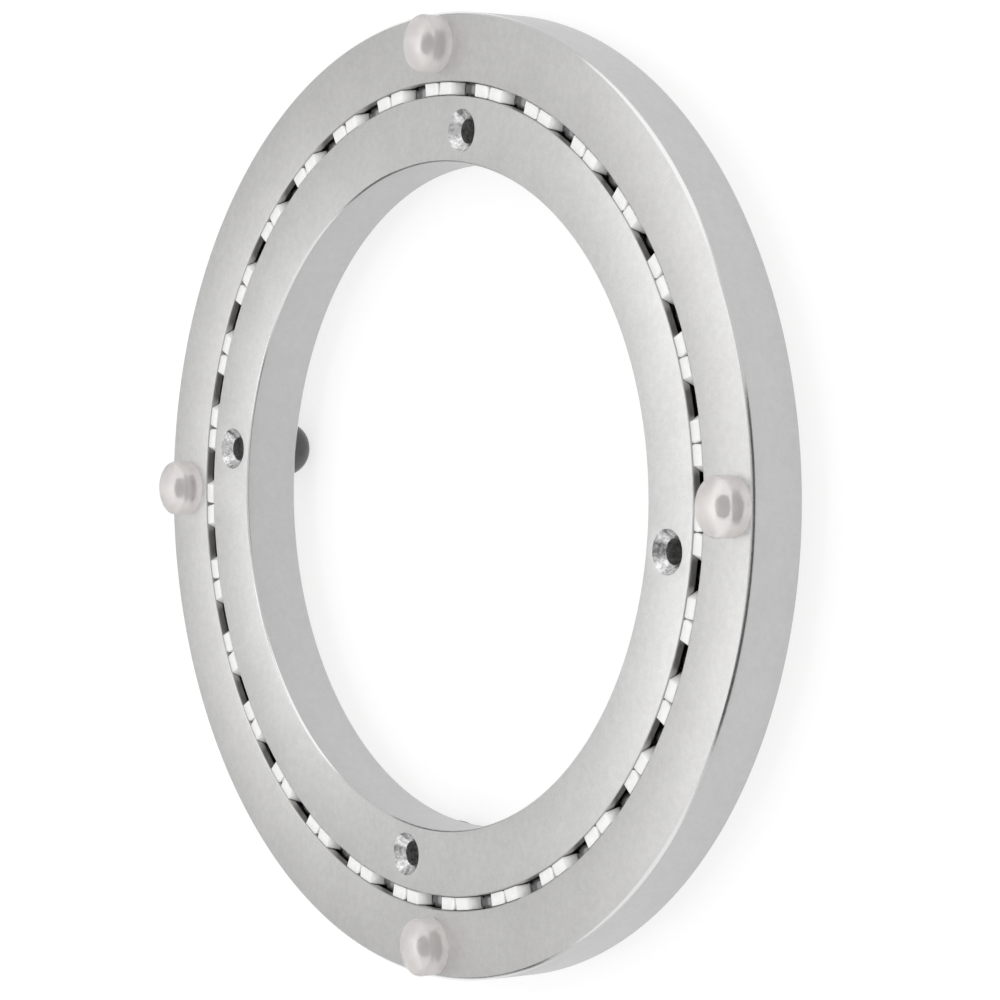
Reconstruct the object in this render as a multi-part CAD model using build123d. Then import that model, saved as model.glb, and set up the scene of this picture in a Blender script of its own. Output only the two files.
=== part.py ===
from build123d import *
import os
from math import radians, sin, sqrt, tan

# Turntable ring bearing: two flush aluminium rings that turn on a row of caged balls.
# The outer ring carries clear push-in pads on its top face, the inner ring stands on rubber dome feet.
# The bearing lies flat: +Z is the spin axis and Z = 0 is the plane under the feet.

# Rings
race_diameter = 168.5
gap_width = 2.9
outer_ring_width = 14.3
inner_ring_width = 13.7
ring_thickness = 12.8
rim_chamfer = 0.65
hole_chamfer = 0.4
gap_chamfer = 0.2

# Balls and the race grooves they roll in
ball_count = 31
ball_diameter = 9.0
ball_play = 0.05
race_relief = 0.25
race_edge_break = 0.4

# Retainers, one round each ball, which stand end to end in the gap
retainer_side_play = 0.2
retainer_end_play = 0.15
retainer_recess = 0.15
retainer_corner_radius = 0.45
pocket_play = 0.1
window_length = 8.4
window_slope = 30.0
retainer_row_angle = -86.6

# Clear pads, with stems in blind holes of the outer ring
pad_count = 4
pad_row_angle = 6.9
pad_edge_inset = 6.5
pad_diameter = 12.0
pad_height = 4.2
pad_edge_radius = 0.9
pad_stem_diameter = 4.4
pad_stem_length = 3.0

# Screw holes in the inner ring, countersunk from the top
screw_hole_count = 4
screw_edge_inset = 6.6
screw_bore_diameter = 5.2
countersink_diameter = 9.0
countersink_angle = 90.0

# Rubber feet, with stems in counterbores behind the screw holes
foot_diameter = 12.6
foot_height = 6.2
foot_flat_diameter = 3.0
foot_stem_diameter = 7.4
foot_stem_length = 3.0

# Room round and under a pushed-in stem
stem_side_play = 0.1
stem_end_play = 0.3

# Places that follow from the sizes above
race_radius = race_diameter / 2
inner_wall_radius = race_radius - gap_width / 2
outer_wall_radius = race_radius + gap_width / 2
hole_radius = inner_wall_radius - inner_ring_width
rim_radius = outer_wall_radius + outer_ring_width
screw_circle_radius = hole_radius + screw_edge_inset
pad_circle_radius = rim_radius - pad_edge_inset
back_z = foot_height
face_z = back_z + ring_thickness
race_z = back_z + ring_thickness / 2
ball_radius = ball_diameter / 2
groove_radius = ball_radius + race_relief
groove_floor_offset = ball_radius + ball_play
groove_centre_offset = groove_radius - groove_floor_offset
retainer_angle = 360 / ball_count


def ring_section(wall_radius, far_radius, far_chamfer):
    """Half section of a ring with its race groove in the wall and chamfers on its edges."""
    inward = 1 if far_radius > wall_radius else -1
    lip_radius = wall_radius + inward * race_edge_break
    arc_centre_radius = race_radius - inward * groove_centre_offset
    lip_half_height = sqrt(groove_radius**2 - (lip_radius - arc_centre_radius) ** 2)
    wall_half_height = lip_half_height + race_edge_break
    wall_chamfer_radius = wall_radius + inward * gap_chamfer
    far_chamfer_radius = far_radius - inward * far_chamfer
    groove = ThreePointArc(
        (lip_radius, race_z - lip_half_height),
        (race_radius + inward * groove_floor_offset, race_z),
        (lip_radius, race_z + lip_half_height),
    )
    outside = Polyline(
        (lip_radius, race_z + lip_half_height),
        (wall_radius, race_z + wall_half_height),
        (wall_radius, face_z - gap_chamfer),
        (wall_chamfer_radius, face_z),
        (far_chamfer_radius, face_z),
        (far_radius, face_z - far_chamfer),
        (far_radius, back_z + far_chamfer),
        (far_chamfer_radius, back_z),
        (wall_chamfer_radius, back_z),
        (wall_radius, back_z + gap_chamfer),
        (wall_radius, race_z - wall_half_height),
        (lip_radius, race_z - lip_half_height),
    )
    return make_face(Plane.XZ * (groove + outside))


def round_the_axis(count, radius, first_angle, shape):
    """Copies of a shape, evenly spaced on a circle about the spin axis."""
    return [Rot(0, 0, first_angle + 360 / count * step) * Pos(radius, 0, 0) * shape for step in range(count)]


def turned(*outline):
    """A solid of revolution from the lines of its half section, given as radius and height."""
    section = Curve() + list(outline)
    return revolve(make_face(Plane.XZ * section), Axis.Z)


def stem_hole(diameter, length, mouth_z, direction):
    """The round hole that takes a stem, cut from a face and a little deeper than the stem."""
    depth = length + stem_end_play
    hole = Cylinder(diameter / 2 + stem_side_play, depth)
    return Pos(0, 0, mouth_z + direction * depth / 2) * hole


def screw_hole():
    """Countersink and bore for a screw, with the foot's counterbore behind them."""
    countersink_radius = countersink_diameter / 2
    bore_radius = screw_bore_diameter / 2
    cone_depth = (countersink_radius - bore_radius) / tan(radians(countersink_angle / 2))
    cone = Cone(bore_radius, countersink_radius, cone_depth)
    bore = Cylinder(bore_radius, ring_thickness)
    counterbore = stem_hole(foot_stem_diameter, foot_stem_length, back_z, 1)
    return Pos(0, 0, face_z - cone_depth / 2) * cone + Pos(0, 0, race_z) * bore + counterbore


def make_inner_ring():
    ring = revolve(ring_section(inner_wall_radius, hole_radius, hole_chamfer), Axis.Z)
    return ring - round_the_axis(screw_hole_count, screw_circle_radius, 0, screw_hole())


def make_outer_ring():
    ring = revolve(ring_section(outer_wall_radius, rim_radius, rim_chamfer), Axis.Z)
    hole = stem_hole(pad_stem_diameter, pad_stem_length, face_z, -1)
    return ring - round_the_axis(pad_count, pad_circle_radius, pad_row_angle, hole)


def make_retainer():
    """A curved block with square ends, a ball pocket and a window that narrows down to the ball."""
    thickness = gap_width - 2 * retainer_side_play
    height = ring_thickness - 2 * retainer_recess
    inner_pitch = 2 * (race_radius - thickness / 2) * sin(radians(retainer_angle / 2))
    section = Plane.XZ * Pos(race_radius, race_z) * Rectangle(thickness, height)
    block = Rot(0, 0, -retainer_angle / 2) * revolve(section, Axis.Z, retainer_angle)
    block &= Pos(race_radius, 0, race_z) * Box(2 * gap_width, inner_pitch - retainer_end_play, ring_thickness)
    block = fillet(block.edges().filter_by(Axis.Z), retainer_corner_radius)
    top_z = race_z + height / 2
    top_half = window_length / 2
    foot_half = top_half - (top_z - race_z) * tan(radians(window_slope))
    window = Polyline(
        (-foot_half, race_z), (foot_half, race_z), (top_half, top_z), (-top_half, top_z), close=True
    )
    window = extrude(make_face(Plane.YZ.offset(race_radius) * window), gap_width, both=True)
    pocket = Pos(race_radius, 0, race_z) * Sphere(ball_radius + pocket_play)
    return block - window - pocket


def make_pad():
    """Clear pad: a stem under a round head with a soft upper edge."""
    pad_radius = pad_diameter / 2
    stem_radius = pad_stem_diameter / 2
    top_z = face_z + pad_height
    edge_start = (pad_radius, top_z - pad_edge_radius)
    edge_end = (pad_radius - pad_edge_radius, top_z)
    outside = Polyline(
        edge_end,
        (0, top_z),
        (0, face_z - pad_stem_length),
        (stem_radius, face_z - pad_stem_length),
        (stem_radius, face_z),
        (pad_radius, face_z),
        edge_start,
    )
    return turned(outside, RadiusArc(edge_start, edge_end, -pad_edge_radius))


def make_foot():
    """Rubber dome with a small flat to stand on and a stem that goes up into the inner ring."""
    foot_radius = foot_diameter / 2
    flat_radius = foot_flat_diameter / 2
    stem_radius = foot_stem_diameter / 2
    dome = EllipticalCenterArc(
        (flat_radius, foot_height), foot_radius - flat_radius, foot_height, start_angle=270, arc_size=90
    )
    upper = Polyline(
        (foot_radius, back_z),
        (stem_radius, back_z),
        (stem_radius, back_z + foot_stem_length),
        (0, back_z + foot_stem_length),
        (0, 0),
        (flat_radius, 0),
    )
    return turned(dome, upper)


def make_parts():
    """Every piece of the bearing by name, each in its place."""
    half_retainer = retainer_angle / 2
    balls = round_the_axis(
        ball_count, race_radius, retainer_row_angle + half_retainer, Pos(0, 0, race_z) * Sphere(ball_radius)
    )
    parts = {
        "outer_ring": make_outer_ring(),
        "inner_ring": make_inner_ring(),
        "ball_set": Compound(children=balls),
    }
    rows = {
        "retainer_{:02d}": round_the_axis(ball_count, 0, retainer_row_angle + half_retainer, make_retainer()),
        "pad_{}": round_the_axis(pad_count, pad_circle_radius, pad_row_angle, make_pad()),
        "foot_{}": round_the_axis(screw_hole_count, screw_circle_radius, 0, make_foot()),
    }
    for name, copies in rows.items():
        for number, copy in enumerate(copies, start=1):
            parts[name.format(number)] = copy
    return parts


os.makedirs("parts", exist_ok=True)
for part_name, shape in make_parts().items():
    export_step(shape, f"parts/{part_name}.step")
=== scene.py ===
import math

import bpy
from bpy.props import FloatProperty, FloatVectorProperty, IntProperty, PointerProperty
from mathutils import Matrix, Quaternion, Vector


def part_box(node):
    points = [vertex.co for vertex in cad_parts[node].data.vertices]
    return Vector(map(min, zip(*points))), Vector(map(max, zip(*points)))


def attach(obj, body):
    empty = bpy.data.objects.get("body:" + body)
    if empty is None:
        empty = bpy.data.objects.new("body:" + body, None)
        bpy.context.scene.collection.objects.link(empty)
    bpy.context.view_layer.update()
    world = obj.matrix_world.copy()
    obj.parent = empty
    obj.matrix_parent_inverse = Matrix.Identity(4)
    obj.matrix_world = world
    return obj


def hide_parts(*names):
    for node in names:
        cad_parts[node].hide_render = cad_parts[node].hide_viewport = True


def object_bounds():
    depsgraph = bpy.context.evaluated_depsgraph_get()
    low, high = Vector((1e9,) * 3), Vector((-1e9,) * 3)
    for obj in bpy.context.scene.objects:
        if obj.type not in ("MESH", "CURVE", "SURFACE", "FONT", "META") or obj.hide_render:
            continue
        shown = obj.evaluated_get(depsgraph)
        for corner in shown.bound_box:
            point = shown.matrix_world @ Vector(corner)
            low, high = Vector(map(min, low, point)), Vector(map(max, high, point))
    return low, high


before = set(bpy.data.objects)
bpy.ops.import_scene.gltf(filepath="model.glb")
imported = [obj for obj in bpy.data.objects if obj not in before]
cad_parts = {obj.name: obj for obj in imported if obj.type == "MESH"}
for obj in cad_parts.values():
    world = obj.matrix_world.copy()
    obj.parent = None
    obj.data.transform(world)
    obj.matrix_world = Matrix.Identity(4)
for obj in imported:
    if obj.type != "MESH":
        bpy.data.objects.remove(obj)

bl_info = {
    "name": "Turntable Bearing",
    "version": (1, 0, 0),
    "blender": (4, 5, 0),
    "location": "View3D > Sidebar > Bearing",
    "description": "Two aluminium rings that turn on caged balls, with clear pads and rubber feet",
    "category": "Add Mesh",
}

MM = 0.001
CAD_BOX = [list(corner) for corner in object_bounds()]
OUTER_LOW, OUTER_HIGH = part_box("outer_ring")
INNER_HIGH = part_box("inner_ring")[1]
PAD_LOW, PAD_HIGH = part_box("pad_1")
FOOT_LOW, FOOT_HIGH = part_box("foot_1")
FACE_Z = OUTER_HIGH.z
BACK_Z = OUTER_LOW.z
RACE_Z = (FACE_Z + BACK_Z) / 2
RETAINER_NODES = sorted(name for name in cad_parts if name.startswith("retainer_"))
PAD_NODES = sorted(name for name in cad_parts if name.startswith("pad_"))
FOOT_NODES = sorted(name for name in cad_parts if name.startswith("foot_"))
RETAINER_PITCH = 2 * math.pi / len(RETAINER_NODES)
MERGE_GAP = 0.002 * MM
CUT_MARGIN = 0.5 * MM
FLOOR_WIDTH = 8.0

# Facets along curved stretches
GROOVE_STEPS = 10
BLOCK_STEPS = 16
DOME_STEPS = 16
SHADE_STEPS = 24


def length(name, description, millimetres):
    return FloatProperty(
        name=name, description=description, default=millimetres * MM, unit="LENGTH"
    )


def colour(name, description, default):
    return FloatVectorProperty(
        name=name, description=description, default=default, subtype="COLOR", min=0, max=1
    )


def degrees(name, description, default):
    return FloatProperty(
        name=name, description=description, default=math.radians(default), subtype="ANGLE"
    )


class RingSizes(bpy.types.PropertyGroup):
    """Sizes of the two aluminium rings and the holes in them."""

    race_radius: length("Race radius", "Circle through the balls' centres", 84.25)
    outer_wall_radius: length("Outer wall", "Inside of the outer ring", 85.7)
    hole_radius: length("Centre hole", "Inside of the inner ring", 69.1)
    rim_chamfer: length("Rim chamfer", "Chamfer on the rim", 0.65)
    hole_chamfer: length("Hole chamfer", "Chamfer on the centre hole", 0.4)
    gap_chamfer: length("Gap chamfer", "Chamfer along the gap between the rings", 0.2)
    groove_radius: length("Groove radius", "Section radius of the race groove", 4.75)
    groove_depth: length("Groove depth", "From the race circle to the groove's floor", 4.55)
    groove_break: length("Groove edge", "Broken edge of the race groove", 0.4)
    edge_round: length("Edge round", "Softness of the turned edges", 0.08)
    screw_bore_radius: length("Screw bore", "Radius of a screw hole", 2.6)
    countersink_radius: length("Countersink", "Radius of a countersink at the face", 4.5)
    stem_play: length("Stem play", "Room round a pushed-in stem", 0.1)
    stem_end_play: length("Stem end play", "Room past the end of a pushed-in stem", 0.3)
    segments: IntProperty(name="Segments", description="Facets round a ring", default=288)


class RetainerSizes(bpy.types.PropertyGroup):
    """Sizes of the white ball retainers and of the balls."""

    thickness: length("Thickness", "Across the gap between the rings", 2.5)
    end_play: length("End play", "Gap between two neighbours at its narrow side", 0.15)
    recess: length("Recess", "How far the top lies below the ring's face", 0.15)
    corner_radius: length("Corner radius", "Upright corners at the two ends", 0.45)
    window_length: length("Window", "Length of the opening over a ball", 8.4)
    window_slope: degrees("Window slope", "How the window narrows down to the ball", 30)
    pocket_play: length("Pocket play", "Room round a ball", 0.1)
    edge_round: length("Edge round", "Softness of the moulded edges", 0.12)
    ball_radius: length("Ball radius", "Radius of a ball", 4.5)
    row_angle: degrees("Row angle", "Where the first retainer begins", -86.6)


class PadSizes(bpy.types.PropertyGroup):
    """Sizes of the clear pads on the outer ring."""

    top_round: length("Top round", "Radius of the head's upper edge", 0.9)
    stem_radius: length("Stem", "Radius of the stem in the ring", 2.2)
    edge_round: length("Edge round", "Softness of the other moulded edges", 0.1)
    grip: length("Grip", "How far the soft underside presses into the ring's face", 0.02)
    segments: IntProperty(name="Segments", description="Facets round a pad", default=96)


class FootSizes(bpy.types.PropertyGroup):
    """Sizes of the rubber feet under the inner ring."""

    flat_radius: length("Flat", "Radius of the flat tip", 1.5)
    stem_radius: length("Stem", "Radius of the stem in the ring", 3.7)
    segments: IntProperty(name="Segments", description="Facets round a foot", default=72)


class FinishColours(bpy.types.PropertyGroup):
    """Colours of the materials."""

    outer_face: colour("Outer face", "Finely blasted face of the outer ring", (0.704, 0.70, 0.692))
    inner_face: colour("Inner face", "Finely blasted face of the inner ring", (0.738, 0.735, 0.729))
    # Painted shade: the turned walls are set darker than the faces, for the shade on the rings'
    # sides.
    turned: colour("Turned", "Turned walls of the rings", (0.57, 0.57, 0.57))
    machined: colour("Machined", "Bright metal on the edges", (0.82, 0.82, 0.82))
    # Also used at 0.3 of its brightness as painted shade in the stem holes under the pads.
    oil_tone_and_hole_shade: colour("Oiled", "Oiled metal in the race", (0.63, 0.62, 0.60))
    # Painted light: the face under each clear pad is set brighter than the face round it, for light
    # that comes through the pad.
    painted_seat_light: colour("Seat", "Bright seats under the pads", (0.76, 0.74, 0.73))
    nylon: colour("Nylon", "White retainers", (0.88, 0.88, 0.865))
    vinyl: colour("Vinyl", "Clear pads", (0.96, 0.935, 0.925))
    rubber: colour("Rubber", "Dark feet", (0.045, 0.043, 0.042))
    # Painted shade: the balls are set far darker than bare steel, for the shade down in the
    # retainer windows.
    steel: colour("Steel", "Polished balls", (0.17, 0.17, 0.172))
    floor: colour("Floor", "Pale floor", (0.36, 0.36, 0.36))


class StageSettings(bpy.types.PropertyGroup):
    """Camera and light."""

    camera_azimuth: degrees("Azimuth", "Camera's turn about the spin axis", 8.607)
    camera_elevation: degrees("Elevation", "Camera's height above the horizon", 37.605)
    camera_roll: degrees("Roll", "Camera's turn about its own line of sight", -90.784)
    camera_distance: length("Distance", "From the camera to the point that it looks at", 775.2)
    camera_aim: FloatVectorProperty(
        name="Aim",
        description="Point that the camera looks at",
        default=(1.31 * MM, -14.80 * MM, 13.0 * MM),
        subtype="TRANSLATION",
    )
    lens: FloatProperty(name="Lens", description="Focal length in millimetres", default=136.05)
    world_strength: FloatProperty(
        name="World", description="Soft light from all round", default=0.65
    )
    floor_glow: FloatProperty(
        name="Floor glow", description="Light that the floor adds to itself", default=0.70
    )


def sizes(group):
    """One of the groups of settings, which the scene keeps."""
    return getattr(bpy.context.scene, "bearing_" + group)


def select_only(*objects):
    bpy.ops.object.select_all(action="DESELECT")
    for obj in objects:
        obj.select_set(True)
    bpy.context.view_layer.objects.active = objects[0]


def pick(obj, test):
    """Selects, in edit mode, the vertices whose place passes a test and what lies between."""
    bpy.ops.mesh.select_mode(type="VERT")
    bpy.ops.mesh.select_all(action="DESELECT")
    bpy.ops.object.mode_set(mode="OBJECT")
    for vertex in obj.data.vertices:
        vertex.select = test(vertex.co)
    bpy.ops.object.mode_set(mode="EDIT")


class Pen:
    """Draws a half section in the XZ plane, as radius and height, and turns it round Z."""

    def __init__(self, name, start):
        bpy.ops.object.select_all(action="DESELECT")
        bpy.ops.mesh.primitive_plane_add(size=1 * MM)
        self.obj = bpy.context.active_object
        self.obj.name = name
        self.obj.data.name = name
        bpy.ops.object.mode_set(mode="EDIT")
        bpy.ops.mesh.merge(type="CENTER")
        bpy.ops.transform.translate(value=(start[0], 0, start[1]))
        self.place = start

    def line(self, *corners):
        for corner in corners:
            step = (corner[0] - self.place[0], 0, corner[1] - self.place[1])
            bpy.ops.mesh.extrude_region_move(TRANSFORM_OT_translate={"value": step})
            self.place = corner

    def arc(self, centre, end, steps):
        """A round stretch about a centre, the short way to its end."""
        first = math.atan2(self.place[1] - centre[1], self.place[0] - centre[0])
        last = math.atan2(end[1] - centre[1], end[0] - centre[0])
        turn = (last - first + math.pi) % (2 * math.pi) - math.pi
        pivot = (centre[0], 0, centre[1])
        bpy.ops.mesh.spin(steps=steps, angle=turn, center=pivot, axis=(0, 1, 0))
        self.place = end

    def soften(self, width, steps, *corners):
        """Rounds the corners at these places of the section."""
        places = [Vector((radius, 0, height)) for radius, height in corners]
        pick(self.obj, lambda place: any((place - spot).length < MERGE_GAP for spot in places))
        bpy.ops.mesh.bevel(offset=width, segments=steps, affect="VERTICES")

    def turn(self, steps):
        """Turns the section into a closed piece and gives it."""
        bpy.ops.mesh.select_all(action="SELECT")
        bpy.ops.mesh.remove_doubles(threshold=MERGE_GAP)
        bpy.ops.mesh.select_all(action="SELECT")
        bpy.ops.mesh.spin(steps=steps, angle=2 * math.pi, center=(0, 0, 0), axis=(0, 0, 1))
        bpy.ops.mesh.select_all(action="SELECT")
        bpy.ops.mesh.remove_doubles(threshold=MERGE_GAP)
        bpy.ops.mesh.select_all(action="SELECT")
        bpy.ops.mesh.normals_make_consistent(inside=False)
        bpy.ops.object.mode_set(mode="OBJECT")
        return self.obj


def apply_modifier(obj, kind, **settings):
    modifier = obj.modifiers.new(kind.lower(), kind)
    for name, value in settings.items():
        setattr(modifier, name, value)
    select_only(obj)
    bpy.ops.object.modifier_apply(modifier=modifier.name)


def cut(obj, *cutters):
    """Takes the cutters' shapes out of a piece, and deletes the cutters."""
    for cutter in cutters:
        apply_modifier(obj, "BOOLEAN", operation="DIFFERENCE", solver="EXACT", object=cutter)
        bpy.data.objects.remove(cutter)


def copy_of(obj, name, placing):
    """A copy with a mesh of its own, moved to its place."""
    copy = obj.copy()
    copy.data = obj.data.copy()
    copy.name = name
    copy.data.name = name
    copy.data.transform(placing)
    bpy.context.scene.collection.objects.link(copy)
    return copy


def middle(node):
    low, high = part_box(node)
    return (low + high) / 2


def to_axis_of(node):
    """Moves a piece that was turned round the Z axis onto the axis of a CAD node."""
    centre = middle(node)
    return Matrix.Translation((centre.x, centre.y, 0))


def hand_over(obj, material, body, nodes, smooth_angle=30):
    """Shades a finished piece and sets it on its body in place of its CAD nodes."""
    select_only(obj)
    bpy.ops.object.shade_smooth_by_angle(angle=math.radians(smooth_angle))
    obj.data.materials.clear()
    obj.data.materials.append(material)
    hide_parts(*nodes)
    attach(obj, body)


class Wire:
    """A shader socket that can be used in sums: each operator adds a Math node."""

    def __init__(self, finish, socket):
        self.finish = finish
        self.socket = socket

    def math(self, operation, *others):
        operands = dict(enumerate((self, *others)))
        return self.finish.add("ShaderNodeMath", {"operation": operation}, operands)

    def __add__(self, other):
        return self.math("ADD", other)

    def __sub__(self, other):
        return self.math("SUBTRACT", other)

    def __mul__(self, other):
        return self.math("MULTIPLY", other)

    def __pow__(self, other):
        return self.math("POWER", other)

    def __gt__(self, other):
        return self.math("GREATER_THAN", other)

    def __lt__(self, other):
        return self.math("LESS_THAN", other)

    def __abs__(self):
        return self.math("ABSOLUTE")

    def __rsub__(self, other):
        return self.finish.add("ShaderNodeMath", {"operation": "SUBTRACT"}, {0: other, 1: self})

    __radd__ = __add__


class Finish:
    """The node tree of one material."""

    def __init__(self, name):
        self.material = bpy.data.materials.new(name)
        self.material.use_nodes = True
        self.tree = self.material.node_tree
        self.shader = self.tree.nodes["Principled BSDF"]

    def add(self, kind, settings=None, sockets=None, output=0):
        """Adds a node, sets it up, plugs its sockets and gives one of its outputs."""
        node = self.tree.nodes.new(kind)
        for name, value in (settings or {}).items():
            setattr(node, name, value)
        for key, value in (sockets or {}).items():
            self.plug(node.inputs[key], value)
        return Wire(self, node.outputs[output])

    def plug(self, socket, value):
        if isinstance(value, Wire):
            self.tree.links.new(value.socket, socket)
        else:
            socket.default_value = value

    def set(self, **values):
        """Plugs the shader's sockets, named with underscores for spaces."""
        for name, value in values.items():
            self.plug(self.shader.inputs[name.replace("_", " ")], value)

    def place(self):
        return self.add("ShaderNodeTexCoord", output="Object")

    def parts(self, vector):
        sockets = {0: vector}
        return [self.add("ShaderNodeSeparateXYZ", None, sockets, axis) for axis in "XYZ"]

    def noise(self, vector, grain, detail=2.0, roughness=0.5):
        """Cloudy noise about a half, with patches of one grain's size."""
        sockets = {"Vector": vector, "Scale": 1 / grain, "Detail": detail, "Roughness": roughness}
        return self.add("ShaderNodeTexNoise", None, sockets)

    def step(self, value, low, high):
        """Goes smoothly from 0 at low to 1 at high."""
        sockets = {"Value": value, "From Min": low, "From Max": high}
        return self.add("ShaderNodeMapRange", {"interpolation_type": "SMOOTHSTEP"}, sockets)

    def mix(self, factor, first, second):
        """Blends two colours."""
        settings = {"data_type": "RGBA", "clamp_factor": True}
        return self.add("ShaderNodeMix", settings, {0: factor, 6: first, 7: second}, 2)

    def tint(self, value, first, second):
        """A colour between two, by a value about a half."""
        return self.mix(self.step(value, 0.3, 0.7), first, second)

    def bump(self, height, strength, distance):
        sockets = {"Height": height, "Strength": strength, "Distance": distance}
        return self.add("ShaderNodeBump", None, sockets)


def rgba(colour_value, factor=1.0):
    """A colour for a socket, brighter or darker by a factor."""
    return (*(min(1.0, part * factor) for part in colour_value), 1.0)


def from_nearest(x, y, node):
    """Distance from the nearest of four axes that stand in a square, one of them a CAD node's."""
    axis = middle(node)
    circle = axis.xy.length
    turn = math.atan2(axis.y, axis.x)
    along_axis = abs(x * math.cos(turn) + y * math.sin(turn))
    beside_axis = abs(y * math.cos(turn) - x * math.sin(turn))
    outward = along_axis.math("MAXIMUM", beside_axis) - circle
    sideways = along_axis.math("MINIMUM", beside_axis)
    return (outward * outward + sideways * sideways) ** 0.5


def aluminium_finish(name, face, far_radius, far_chamfer, holes):
    """Blasted faces, turned walls set darker as painted shade, bright chamfers, an oil-toned race,
    drilled holes, and painted light and shade under the pads.
    """
    finish = Finish(name)
    colours = sizes("colours")
    ring = sizes("rings")
    place = finish.place()
    x, y, z = finish.parts(place)
    radius = (x * x + y * y) ** 0.5
    from_middle = abs(z - RACE_Z)

    # Blasted faces
    grain = finish.noise(place, 0.5 * MM, detail=3.0, roughness=0.7)
    mottle = finish.noise(place, 1.6 * MM)
    cloud = finish.noise(place, 9 * MM, detail=4.0, roughness=0.6)
    turning = finish.add("ShaderNodeCombineXYZ", None, {0: radius, 1: z})
    rings = finish.noise(turning, 0.35 * MM)
    speckle = grain * 0.45 + mottle * 0.3 + cloud * 0.25
    base = finish.tint(speckle, rgba(face, 0.92), rgba(face, 1.07))
    roughness = 0.34 + grain * 0.12 + rings * 0.06
    height = grain * 0.75 + rings * 0.25

    # The wall away from the race, and its chamfers
    from_far = abs(radius - far_radius)
    wall = 1 - finish.step(from_far, 0.02 * MM, 0.12 * MM)
    # Painted shade: the walls take a darker colour than the faces.
    turned = finish.tint(speckle, rgba(colours.turned, 0.95), rgba(colours.turned, 1.05))
    base = finish.mix(wall, base, turned)
    half_height = (FACE_Z - BACK_Z) / 2
    inside, outside = 0.9 * far_chamfer, 1.05 * far_chamfer
    near_edge = 1 - finish.step(from_far, inside, outside)
    near_face = finish.step(from_middle, half_height - outside, half_height - inside)
    chamfer = near_edge * near_face
    base = finish.mix(chamfer, base, rgba(colours.machined))
    roughness = roughness * (1 - chamfer) + chamfer * (0.12 + grain * 0.08)

    # The walls of the gap and the race groove
    half_gap = ring.outer_wall_radius - ring.race_radius
    groove_half_height = 5.6 * MM
    from_race = abs(radius - ring.race_radius)
    in_gap = 1 - finish.step(from_race, half_gap + 0.01 * MM, half_gap + 0.15 * MM)
    shallow = from_race < ring.groove_depth + 0.1 * MM
    in_groove = shallow * (from_middle < groove_half_height)
    base = finish.mix(in_gap.math("MAXIMUM", in_groove), base, rgba(colours.oil_tone_and_hole_shade))

    if holes == "stem holes":
        hole_radius = sizes("pads").stem_radius + ring.stem_play
        seat_radius = 0.97 * (PAD_HIGH.x - PAD_LOW.x) / 2
        from_pad = from_nearest(x, y, PAD_NODES[0])
        upper = z > RACE_Z
        # Painted light: a brighter patch of the face under each pad.
        painted_seat_light = (from_pad < seat_radius) * upper
        # Painted shade: the stem holes under the pads are coloured at 0.3 of the oil tone, for the
        # shade down in the holes.
        hole = (1 - finish.step(from_pad, 0.65 * hole_radius, hole_radius)) * upper
        base = finish.mix(painted_seat_light, base, rgba(colours.painted_seat_light))
        base = finish.mix(hole, base, rgba(colours.oil_tone_and_hole_shade, 0.3))
    else:
        sink_radius = ring.countersink_radius
        chatter = finish.noise(place, 0.8 * MM, detail=3.0, roughness=0.6)
        from_hole = from_nearest(x, y, FOOT_NODES[0])
        sink = 1 - finish.step(from_hole, 0.985 * sink_radius, sink_radius)
        bore = from_hole < 1.02 * ring.screw_bore_radius
        bright, dull = rgba(colours.machined, 1.18), rgba(colours.machined, 0.6)
        base = finish.mix(sink, base, finish.tint(chatter, dull, bright))
        roughness = roughness * (1 - sink) + sink * (0.14 + chatter * 0.2 + bore * 0.1)
        height = height * (1 - sink) + sink * (chatter * 2.2 + rings * 0.2)
    finish.set(
        Base_Color=base,
        Metallic=1.0,
        Roughness=roughness,
        Anisotropic=0.6,
        Anisotropic_Rotation=0.25,
        Normal=finish.bump(height, 0.3, 0.03 * MM),
    )
    return finish.material


def nylon_finish():
    """White moulded nylon, faintly mottled."""
    finish = Finish("white_nylon")
    white = sizes("colours").nylon
    place = finish.place()
    mottle = finish.noise(place, 2.2 * MM, detail=3.0)
    skin = finish.noise(place, 0.2 * MM)
    finish.set(
        Base_Color=finish.tint(mottle, rgba(white, 0.96), rgba(white, 1.03)),
        Roughness=0.38 + mottle * 0.16,
        Subsurface_Weight=0.5,
        Subsurface_Scale=1.0,
        Subsurface_Radius=(1.6 * MM, 1.5 * MM, 1.4 * MM),
        Normal=finish.bump(skin, 0.2, 0.02 * MM),
    )
    return finish.material


def vinyl_finish():
    """Soft clear vinyl with faint flow marks."""
    finish = Finish("clear_vinyl")
    clear = sizes("colours").vinyl
    place = finish.place()
    cloud = finish.noise(place, 3 * MM, detail=3.0)
    skin = finish.noise(place, 0.8 * MM)
    finish.set(
        Base_Color=finish.tint(cloud, rgba(clear, 0.97), rgba(clear, 1.02)),
        Roughness=0.27 + cloud * 0.08,
        IOR=1.42,
        Transmission_Weight=0.8,
        Normal=finish.bump(skin, 0.15, 0.03 * MM),
    )
    return finish.material


def rubber_finish():
    """Smooth black rubber with a faint bloom."""
    finish = Finish("black_rubber")
    black = sizes("colours").rubber
    place = finish.place()
    bloom = finish.noise(place, 4 * MM, detail=4.0)
    skin = finish.noise(place, 0.3 * MM)
    finish.set(
        Base_Color=finish.tint(bloom, rgba(black), rgba(black, 1.9)),
        Roughness=0.24 + bloom * 0.16,
        Specular_IOR_Level=0.7,
        Normal=finish.bump(skin, 0.12, 0.02 * MM),
    )
    return finish.material


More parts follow.
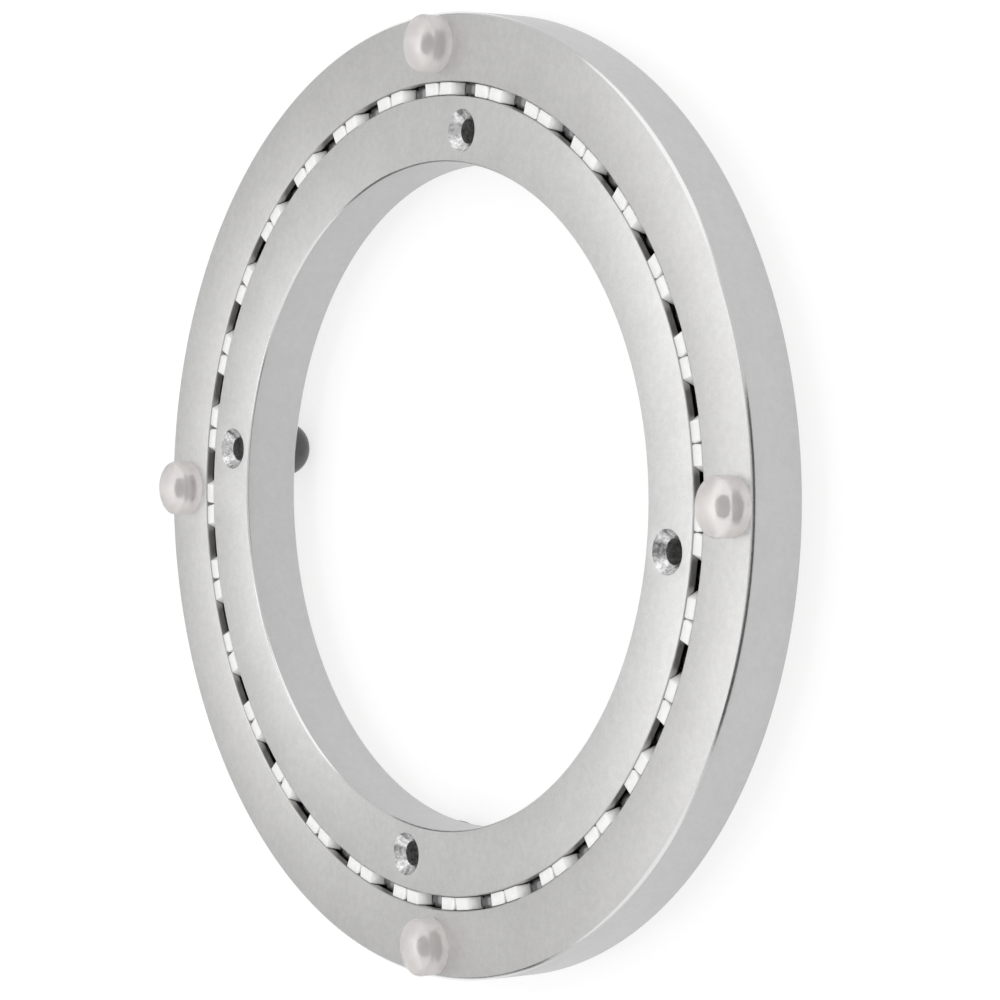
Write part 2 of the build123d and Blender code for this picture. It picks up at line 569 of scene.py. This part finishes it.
def steel_finish():
    """Polished ball steel with fine lapping marks, its colour set dark as painted shade."""
    finish = Finish("bright_steel")
    steel = sizes("colours").steel
    place = finish.place()
    lapping = finish.noise(place, 0.5 * MM, detail=4.0)
    film = finish.noise(place, 3 * MM)
    finish.set(
        Base_Color=finish.tint(film, rgba(steel, 0.93), rgba(steel, 1.05)),
        Metallic=1.0,
        Roughness=0.2 + lapping * 0.1,
        Normal=finish.bump(lapping, 0.08, 0.01 * MM),
    )
    return finish.material


def ring_section(name, wall_radius, far_radius, far_chamfer):
    """Draws the half section of a ring: race groove, wall, chamfers and faces."""
    ring = sizes("rings")
    inward = 1 if far_radius > wall_radius else -1
    lip_radius = wall_radius + inward * ring.groove_break
    arc_radius = ring.race_radius + inward * (ring.groove_depth - ring.groove_radius)
    lip_half = math.sqrt(ring.groove_radius**2 - (lip_radius - arc_radius) ** 2)
    wall_half = lip_half + ring.groove_break
    wall_top = wall_radius + inward * ring.gap_chamfer
    far_top = far_radius - inward * far_chamfer
    corners = [
        (wall_radius, RACE_Z + wall_half),
        (wall_radius, FACE_Z - ring.gap_chamfer),
        (wall_top, FACE_Z),
        (far_top, FACE_Z),
        (far_radius, FACE_Z - far_chamfer),
        (far_radius, BACK_Z + far_chamfer),
        (far_top, BACK_Z),
        (wall_top, BACK_Z),
        (wall_radius, BACK_Z + ring.gap_chamfer),
        (wall_radius, RACE_Z - wall_half),
    ]
    upper_lip = (lip_radius, RACE_Z + lip_half)
    lower_lip = (lip_radius, RACE_Z - lip_half)
    floor = (ring.race_radius + inward * ring.groove_depth, RACE_Z)
    pen = Pen(name, upper_lip)
    pen.line(*corners, lower_lip)
    pen.arc((arc_radius, RACE_Z), floor, GROOVE_STEPS)
    pen.arc((arc_radius, RACE_Z), upper_lip, GROOVE_STEPS)
    bpy.ops.mesh.select_all(action="SELECT")
    bpy.ops.mesh.remove_doubles(threshold=MERGE_GAP)
    pen.soften(ring.edge_round, 2, *corners)
    return pen


class BEARING_OT_outer_ring(bpy.types.Operator):
    """Turned outer ring with blind holes for the pads"""

    bl_idname = "bearing.outer_ring"
    bl_label = "Outer Ring"

    def execute(self, context):
        ring = sizes("rings")
        pad = sizes("pads")
        pen = ring_section(
            "outer_ring_turned", ring.outer_wall_radius, OUTER_HIGH.x, ring.rim_chamfer
        )
        outer = pen.turn(ring.segments)
        hole_radius = pad.stem_radius + ring.stem_play
        hole_floor = PAD_LOW.z - ring.stem_end_play
        pen = Pen("pad_hole", (0, FACE_Z + CUT_MARGIN))
        pen.line((hole_radius, FACE_Z + CUT_MARGIN), (hole_radius, hole_floor), (0, hole_floor))
        drill = pen.turn(pad.segments)
        holes = [copy_of(drill, f"hole_of_{node}", to_axis_of(node)) for node in PAD_NODES]
        cut(outer, *holes)
        bpy.data.objects.remove(drill)
        face = sizes("colours").outer_face
        material = aluminium_finish(
            "aluminium_outer", face, OUTER_HIGH.x, ring.rim_chamfer, "stem holes"
        )
        hand_over(outer, material, "outer", ["outer_ring"])
        return {"FINISHED"}


class BEARING_OT_inner_ring(bpy.types.Operator):
    """Turned inner ring with countersunk screw holes"""

    bl_idname = "bearing.inner_ring"
    bl_label = "Inner Ring"

    def execute(self, context):
        ring = sizes("rings")
        foot = sizes("feet")
        pen = ring_section(
            "inner_ring_turned", INNER_HIGH.x, ring.hole_radius, ring.hole_chamfer
        )
        inner = pen.turn(ring.segments)
        mouth_radius = ring.countersink_radius + CUT_MARGIN
        cone_end = FACE_Z - (ring.countersink_radius - ring.screw_bore_radius)
        stem_hole_radius = foot.stem_radius + ring.stem_play
        stem_hole_top = FOOT_HIGH.z + ring.stem_end_play
        pen = Pen("screw_hole", (0, FACE_Z + CUT_MARGIN))
        pen.line(
            (mouth_radius, FACE_Z + CUT_MARGIN),
            (ring.screw_bore_radius, cone_end),
            (ring.screw_bore_radius, stem_hole_top),
            (stem_hole_radius, stem_hole_top),
            (stem_hole_radius, BACK_Z - CUT_MARGIN),
            (0, BACK_Z - CUT_MARGIN),
        )
        drill = pen.turn(foot.segments)
        holes = [copy_of(drill, f"hole_of_{node}", to_axis_of(node)) for node in FOOT_NODES]
        cut(inner, *holes)
        bpy.data.objects.remove(drill)
        face = sizes("colours").inner_face
        material = aluminium_finish(
            "aluminium_inner", face, ring.hole_radius, ring.hole_chamfer, "countersinks"
        )
        hand_over(inner, material, "inner", ["inner_ring"])
        return {"FINISHED"}


def row_turns():
    """For each retainer and its ball, the turn that takes it to its place in the row."""
    first = sizes("retainers").row_angle
    angles = (first + RETAINER_PITCH * (number + 0.5) for number in range(len(RETAINER_NODES)))
    return [Matrix.Rotation(angle, 4, "Z") for angle in angles]


class BEARING_OT_retainers(bpy.types.Operator):
    """White retainers in a row, each with a window over its ball"""

    bl_idname = "bearing.retainers"
    bl_label = "Retainers"

    def execute(self, context):
        retainer = sizes("retainers")
        race_radius = sizes("rings").race_radius
        top_z = FACE_Z - retainer.recess
        block = self.curved_block(race_radius, 2 * (top_z - RACE_Z))
        cut(block, self.window(race_radius, top_z), self.pocket(race_radius))
        apply_modifier(
            block,
            "BEVEL",
            width=retainer.edge_round,
            segments=2,
            limit_method="ANGLE",
            angle_limit=math.radians(35),
        )
        material = nylon_finish()
        for node, turn in zip(RETAINER_NODES, row_turns()):
            copy = copy_of(block, f"moulded_{node}", turn)
            hand_over(copy, material, "cage", [node], smooth_angle=40)
        bpy.data.objects.remove(block)
        return {"FINISHED"}

    def curved_block(self, race_radius, height):
        """A block that follows the gap, with square ends and rounded upright corners."""
        retainer = sizes("retainers")
        inner_radius = race_radius - retainer.thickness / 2
        inner_pitch = 2 * inner_radius * math.sin(RETAINER_PITCH / 2)
        half_length = (inner_pitch - retainer.end_play) / 2
        bpy.ops.object.select_all(action="DESELECT")
        bpy.ops.mesh.primitive_plane_add(size=1, rotation=(math.pi / 2, 0, 0))
        block = bpy.context.active_object
        block.name = "retainer_block"
        bpy.ops.object.transform_apply(rotation=True)
        bpy.ops.object.mode_set(mode="EDIT")
        bpy.ops.transform.resize(value=(retainer.thickness, 1, height))
        bpy.ops.transform.translate(value=(race_radius, 0, RACE_Z))
        bpy.ops.mesh.spin(
            steps=BLOCK_STEPS, angle=RETAINER_PITCH, center=(0, 0, 0), axis=(0, 0, 1)
        )
        bpy.ops.mesh.select_all(action="SELECT")
        bpy.ops.mesh.remove_doubles(threshold=MERGE_GAP)
        bpy.ops.mesh.normals_make_consistent(inside=False)
        bpy.ops.object.mode_set(mode="OBJECT")
        angles = [math.atan2(vertex.co.y, vertex.co.x) for vertex in block.data.vertices]
        half_way = (min(angles) + max(angles)) / 2
        block.data.transform(Matrix.Rotation(-half_way, 4, "Z"))
        select_only(block)
        bpy.ops.object.mode_set(mode="EDIT")
        for side in (1, -1):
            bpy.ops.mesh.select_all(action="SELECT")
            bpy.ops.mesh.bisect(
                plane_co=(race_radius, side * half_length, RACE_Z),
                plane_no=(0, side, 0),
                use_fill=True,
                clear_outer=True,
            )
        pick(block, lambda place: abs(place.y) > half_length - MERGE_GAP)
        self.keep_upright_edges(block)
        bpy.ops.mesh.bevel(offset=retainer.corner_radius, segments=4, affect="EDGES")
        bpy.ops.object.mode_set(mode="OBJECT")
        return block

    def keep_upright_edges(self, block):
        """Leaves only the upright edges of what is selected."""
        bpy.ops.mesh.select_mode(type="EDGE")
        bpy.ops.object.mode_set(mode="OBJECT")
        for edge in block.data.edges:
            first, second = (block.data.vertices[index].co for index in edge.vertices)
            edge.select = edge.select and (first - second).xy.length < MERGE_GAP
        bpy.ops.object.mode_set(mode="EDIT")

    def window(self, race_radius, top_z):
        """A wedge that is widest at the top, to cut the opening over the ball."""
        retainer = sizes("retainers")
        slope = math.tan(retainer.window_slope)
        height = top_z + CUT_MARGIN - RACE_Z
        top_length = retainer.window_length + 2 * CUT_MARGIN * slope
        foot_length = top_length - 2 * height * slope
        bpy.ops.object.select_all(action="DESELECT")
        bpy.ops.mesh.primitive_cube_add(size=1)
        wedge = bpy.context.active_object
        bpy.ops.object.mode_set(mode="EDIT")
        pick(wedge, lambda place: place.z < 0)
        bpy.ops.transform.resize(value=(1, foot_length / top_length, 1))
        bpy.ops.mesh.select_all(action="SELECT")
        bpy.ops.transform.resize(value=(4 * retainer.thickness, top_length, height))
        bpy.ops.transform.translate(value=(race_radius, 0, RACE_Z + height / 2))
        bpy.ops.object.mode_set(mode="OBJECT")
        return wedge

    def pocket(self, race_radius):
        """A ball with room round it, to cut the pocket."""
        retainer = sizes("retainers")
        radius = retainer.ball_radius + retainer.pocket_play
        return round_ball("ball_pocket", radius, Vector((race_radius, 0, RACE_Z)), levels=4)


def round_ball(name, radius, centre, levels):
    """A ball of even quads: a cube that is subdivided and cast to a sphere."""
    bpy.ops.object.select_all(action="DESELECT")
    bpy.ops.mesh.primitive_cube_add(size=2 * radius)
    ball = bpy.context.active_object
    ball.name = name
    apply_modifier(ball, "SUBSURF", levels=levels, render_levels=levels)
    apply_modifier(
        ball, "CAST", cast_type="SPHERE", factor=1.0, use_radius_as_size=False, size=radius
    )
    ball.data.transform(Matrix.Translation(centre))
    return ball


class BEARING_OT_balls(bpy.types.Operator):
    """Polished steel balls, one in each retainer"""

    bl_idname = "bearing.balls"
    bl_label = "Balls"

    def execute(self, context):
        centre = Vector((sizes("rings").race_radius, 0, RACE_Z))
        ball = round_ball("ball", sizes("retainers").ball_radius, centre, levels=3)
        row = [copy_of(ball, f"ball_{number}", turn) for number, turn in enumerate(row_turns())]
        bpy.data.objects.remove(ball)
        select_only(*row)
        bpy.ops.object.join()
        balls = bpy.context.active_object
        balls.name = "polished_balls"
        hand_over(balls, steel_finish(), "cage", ["ball_set"], smooth_angle=60)
        return {"FINISHED"}


class BEARING_OT_pads(bpy.types.Operator):
    """Clear pads with a soft upper edge and a stem in the ring"""

    bl_idname = "bearing.pads"
    bl_label = "Pads"

    def execute(self, context):
        pad = sizes("pads")
        pad_radius = (PAD_HIGH.x - PAD_LOW.x) / 2
        top_edge = (pad_radius, PAD_HIGH.z)
        under_z = FACE_Z - pad.grip
        foot_edge = (pad_radius, under_z)
        stem_end = (pad.stem_radius, PAD_LOW.z)
        pen = Pen("pad", (0, PAD_HIGH.z))
        pen.line(top_edge, foot_edge, (pad.stem_radius, under_z), stem_end, (0, PAD_LOW.z))
        pen.soften(pad.top_round, 8, top_edge)
        pen.soften(pad.edge_round, 3, foot_edge, stem_end)
        original = pen.turn(pad.segments)
        material = vinyl_finish()
        for node in PAD_NODES:
            copy = copy_of(original, f"clear_{node}", to_axis_of(node))
            hand_over(copy, material, "outer", [node], smooth_angle=40)
            copy.visible_shadow = False
        bpy.data.objects.remove(original)
        return {"FINISHED"}


class BEARING_OT_feet(bpy.types.Operator):
    """Rubber domes with a flat tip and a stem"""

    bl_idname = "bearing.feet"
    bl_label = "Feet"

    def execute(self, context):
        foot = sizes("feet")
        foot_radius = (FOOT_HIGH.x - FOOT_LOW.x) / 2
        dome_width = foot_radius - foot.flat_radius
        dome_height = BACK_Z - FOOT_LOW.z
        turns = [math.radians(90 * step / DOME_STEPS) for step in range(DOME_STEPS + 1)]
        dome = [
            (foot.flat_radius + dome_width * math.sin(turn), BACK_Z - dome_height * math.cos(turn))
            for turn in turns
        ]
        pen = Pen("foot", (0, FOOT_LOW.z))
        pen.line(
            *dome,
            (foot.stem_radius, BACK_Z),
            (foot.stem_radius, FOOT_HIGH.z),
            (0, FOOT_HIGH.z),
        )
        original = pen.turn(foot.segments)
        material = rubber_finish()
        for node in FOOT_NODES:
            copy = copy_of(original, f"rubber_{node}", to_axis_of(node))
            hand_over(copy, material, "inner", [node], smooth_angle=40)
        bpy.data.objects.remove(original)
        return {"FINISHED"}


def add_softbox(name, place, width, depth, radiance):
    """An area lamp that looks at the middle of the bearing and shows as bright as its radiance."""
    lamp = bpy.data.lights.new(name, "AREA")
    lamp.shape = "RECTANGLE"
    lamp.size = width
    lamp.size_y = depth
    lamp.energy = radiance * math.pi * width * depth
    obj = bpy.data.objects.new(name, lamp)
    obj.location = place
    aim = Vector((0, 0, RACE_Z)) - obj.location
    obj.rotation_euler = aim.to_track_quat("-Z", "Y").to_euler()
    bpy.context.scene.collection.objects.link(obj)
    return obj


def camera_back():
    """Direction from the point that the camera looks at to the camera."""
    stage = sizes("stage")
    level = math.cos(stage.camera_elevation)
    return Vector((
        math.sin(stage.camera_azimuth) * level,
        -math.cos(stage.camera_azimuth) * level,
        math.sin(stage.camera_elevation),
    ))


class BEARING_OT_stage(bpy.types.Operator):
    """Pale floor, soft studio light and the camera"""

    bl_idname = "bearing.stage"
    bl_label = "Stage"

    def execute(self, context):
        self.add_floor()
        self.add_lights()
        self.add_camera()
        context.scene.view_settings.view_transform = "Standard"
        return {"FINISHED"}

    def add_floor(self):
        bpy.ops.object.select_all(action="DESELECT")
        bpy.ops.mesh.primitive_plane_add(size=FLOOR_WIDTH, location=(0, 0, CAD_BOX[0][2]))
        floor = bpy.context.active_object
        floor.name = "floor"
        stage = sizes("stage")
        finish = Finish("pale_floor")
        finish.set(Base_Color=rgba(sizes("colours").floor), Roughness=1.0, Specular_IOR_Level=0.0)
        camera, glossy, transmission = (
            finish.add("ShaderNodeLightPath", output=f"Is {kind} Ray")
            for kind in ("Camera", "Glossy", "Transmission")
        )
        seen = camera.math("MAXIMUM", glossy).math("MAXIMUM", transmission)
        glow = finish.mix(seen, (0.0, 0.0, 0.0, 1.0), (1.0, 1.0, 1.0, 1.0))
        finish.set(Emission_Color=glow, Emission_Strength=stage.floor_glow)
        floor.data.materials.append(finish.material)

    def add_lights(self):
        world = bpy.data.worlds.new("studio")
        bpy.context.scene.world = world
        world.use_nodes = True
        background = world.node_tree.nodes["Background"]
        background.inputs["Color"].default_value = (1.0, 1.0, 1.0, 1.0)
        background.inputs["Strength"].default_value = sizes("stage").world_strength
        add_softbox("overhead_softbox", (0, 0.3, 1.3), width=1.2, depth=1.2, radiance=1.3)
        add_softbox("upper_softbox", (1.07, 0.06, 0.79), width=1.0, depth=0.8, radiance=0.48)
        add_softbox("lower_softbox", (-1.0, -0.1, 0.7), width=0.8, depth=0.8, radiance=0.30)
        fill = add_softbox("front_fill", (0.25, -1.1, 0.38), width=1.0, depth=0.6, radiance=2.4)
        fill.visible_glossy = False
        self.add_shade("front_shade", azimuth=-99, span=80, low=34, high=48.5, grey=0.06)
        self.add_shade("back_shade", azimuth=100, span=100, low=4, high=16, grey=0.22)
        self.add_shade("side_shade", azimuth=151, span=22, low=8, high=28, grey=0.22)
        self.add_shade("top_shade", azimuth=0, span=360, low=78, high=90, grey=0.1)

    def add_shade(self, name, azimuth, span, low, high, grey):
        """A dark curved screen round the bearing, in degrees, which shows only in reflections."""
        reach = 0.95
        low, high, span = math.radians(low), math.radians(high), math.radians(span)
        pen = Pen(name, (reach * math.cos(low), reach * math.sin(low)))
        pen.line((reach * math.cos(high), reach * math.sin(high)))
        bpy.ops.mesh.select_all(action="SELECT")
        bpy.ops.mesh.spin(steps=SHADE_STEPS, angle=span, center=(0, 0, 0), axis=(0, 0, 1))
        bpy.ops.object.mode_set(mode="OBJECT")
        shade = pen.obj
        shade.data.transform(Matrix.Rotation(math.radians(azimuth) + span / 2, 4, "Z"))
        shade.visible_camera = False
        shade.visible_diffuse = False
        shade.visible_transmission = False
        shade.visible_shadow = False
        finish = Finish("dark_cloth")
        finish.set(Base_Color=(grey, grey, grey, 1.0), Roughness=1.0, Specular_IOR_Level=0.0)
        shade.data.materials.append(finish.material)

    def add_camera(self):
        stage = sizes("stage")
        back = camera_back()
        data = bpy.data.cameras.new("photo_camera")
        data.sensor_width = 36
        data.lens = stage.lens
        camera = bpy.data.objects.new("photo_camera", data)
        camera.location = Vector(stage.camera_aim) + back * stage.camera_distance
        level = (-back).to_track_quat("-Z", "Y")
        camera.rotation_mode = "QUATERNION"
        camera.rotation_quaternion = level @ Quaternion((0, 0, 1), stage.camera_roll)
        bpy.context.scene.collection.objects.link(camera)
        bpy.context.scene.camera = camera


OPERATORS = (
    BEARING_OT_outer_ring,
    BEARING_OT_inner_ring,
    BEARING_OT_retainers,
    BEARING_OT_balls,
    BEARING_OT_pads,
    BEARING_OT_feet,
    BEARING_OT_stage,
)

GROUPS = {
    "rings": RingSizes,
    "retainers": RetainerSizes,
    "pads": PadSizes,
    "feet": FootSizes,
    "colours": FinishColours,
    "stage": StageSettings,
}


class BEARING_PT_panel(bpy.types.Panel):
    """Sizes, colours and builders of the bearing"""

    bl_idname = "BEARING_PT_panel"
    bl_label = "Turntable Bearing"
    bl_space_type = "VIEW_3D"
    bl_region_type = "UI"
    bl_category = "Bearing"

    def draw(self, context):
        for operator in OPERATORS:
            self.layout.operator(operator.bl_idname)
        for name, group in GROUPS.items():
            box = self.layout.box()
            box.label(text=group.__doc__)
            for field in group.__annotations__:
                box.prop(sizes(name), field)


def register():
    for part in (*GROUPS.values(), *OPERATORS, BEARING_PT_panel):
        bpy.utils.register_class(part)
    for name, group in GROUPS.items():
        setattr(bpy.types.Scene, "bearing_" + name, PointerProperty(type=group))


def unregister():
    for name in GROUPS:
        delattr(bpy.types.Scene, "bearing_" + name)
    for part in (BEARING_PT_panel, *reversed(OPERATORS), *reversed(GROUPS.values())):
        bpy.utils.unregister_class(part)


def main():
    register()
    bpy.ops.bearing.outer_ring()
    bpy.ops.bearing.inner_ring()
    bpy.ops.bearing.retainers()
    bpy.ops.bearing.balls()
    bpy.ops.bearing.pads()
    bpy.ops.bearing.feet()
    bpy.ops.bearing.stage()


if __name__ == "__main__":
    main()
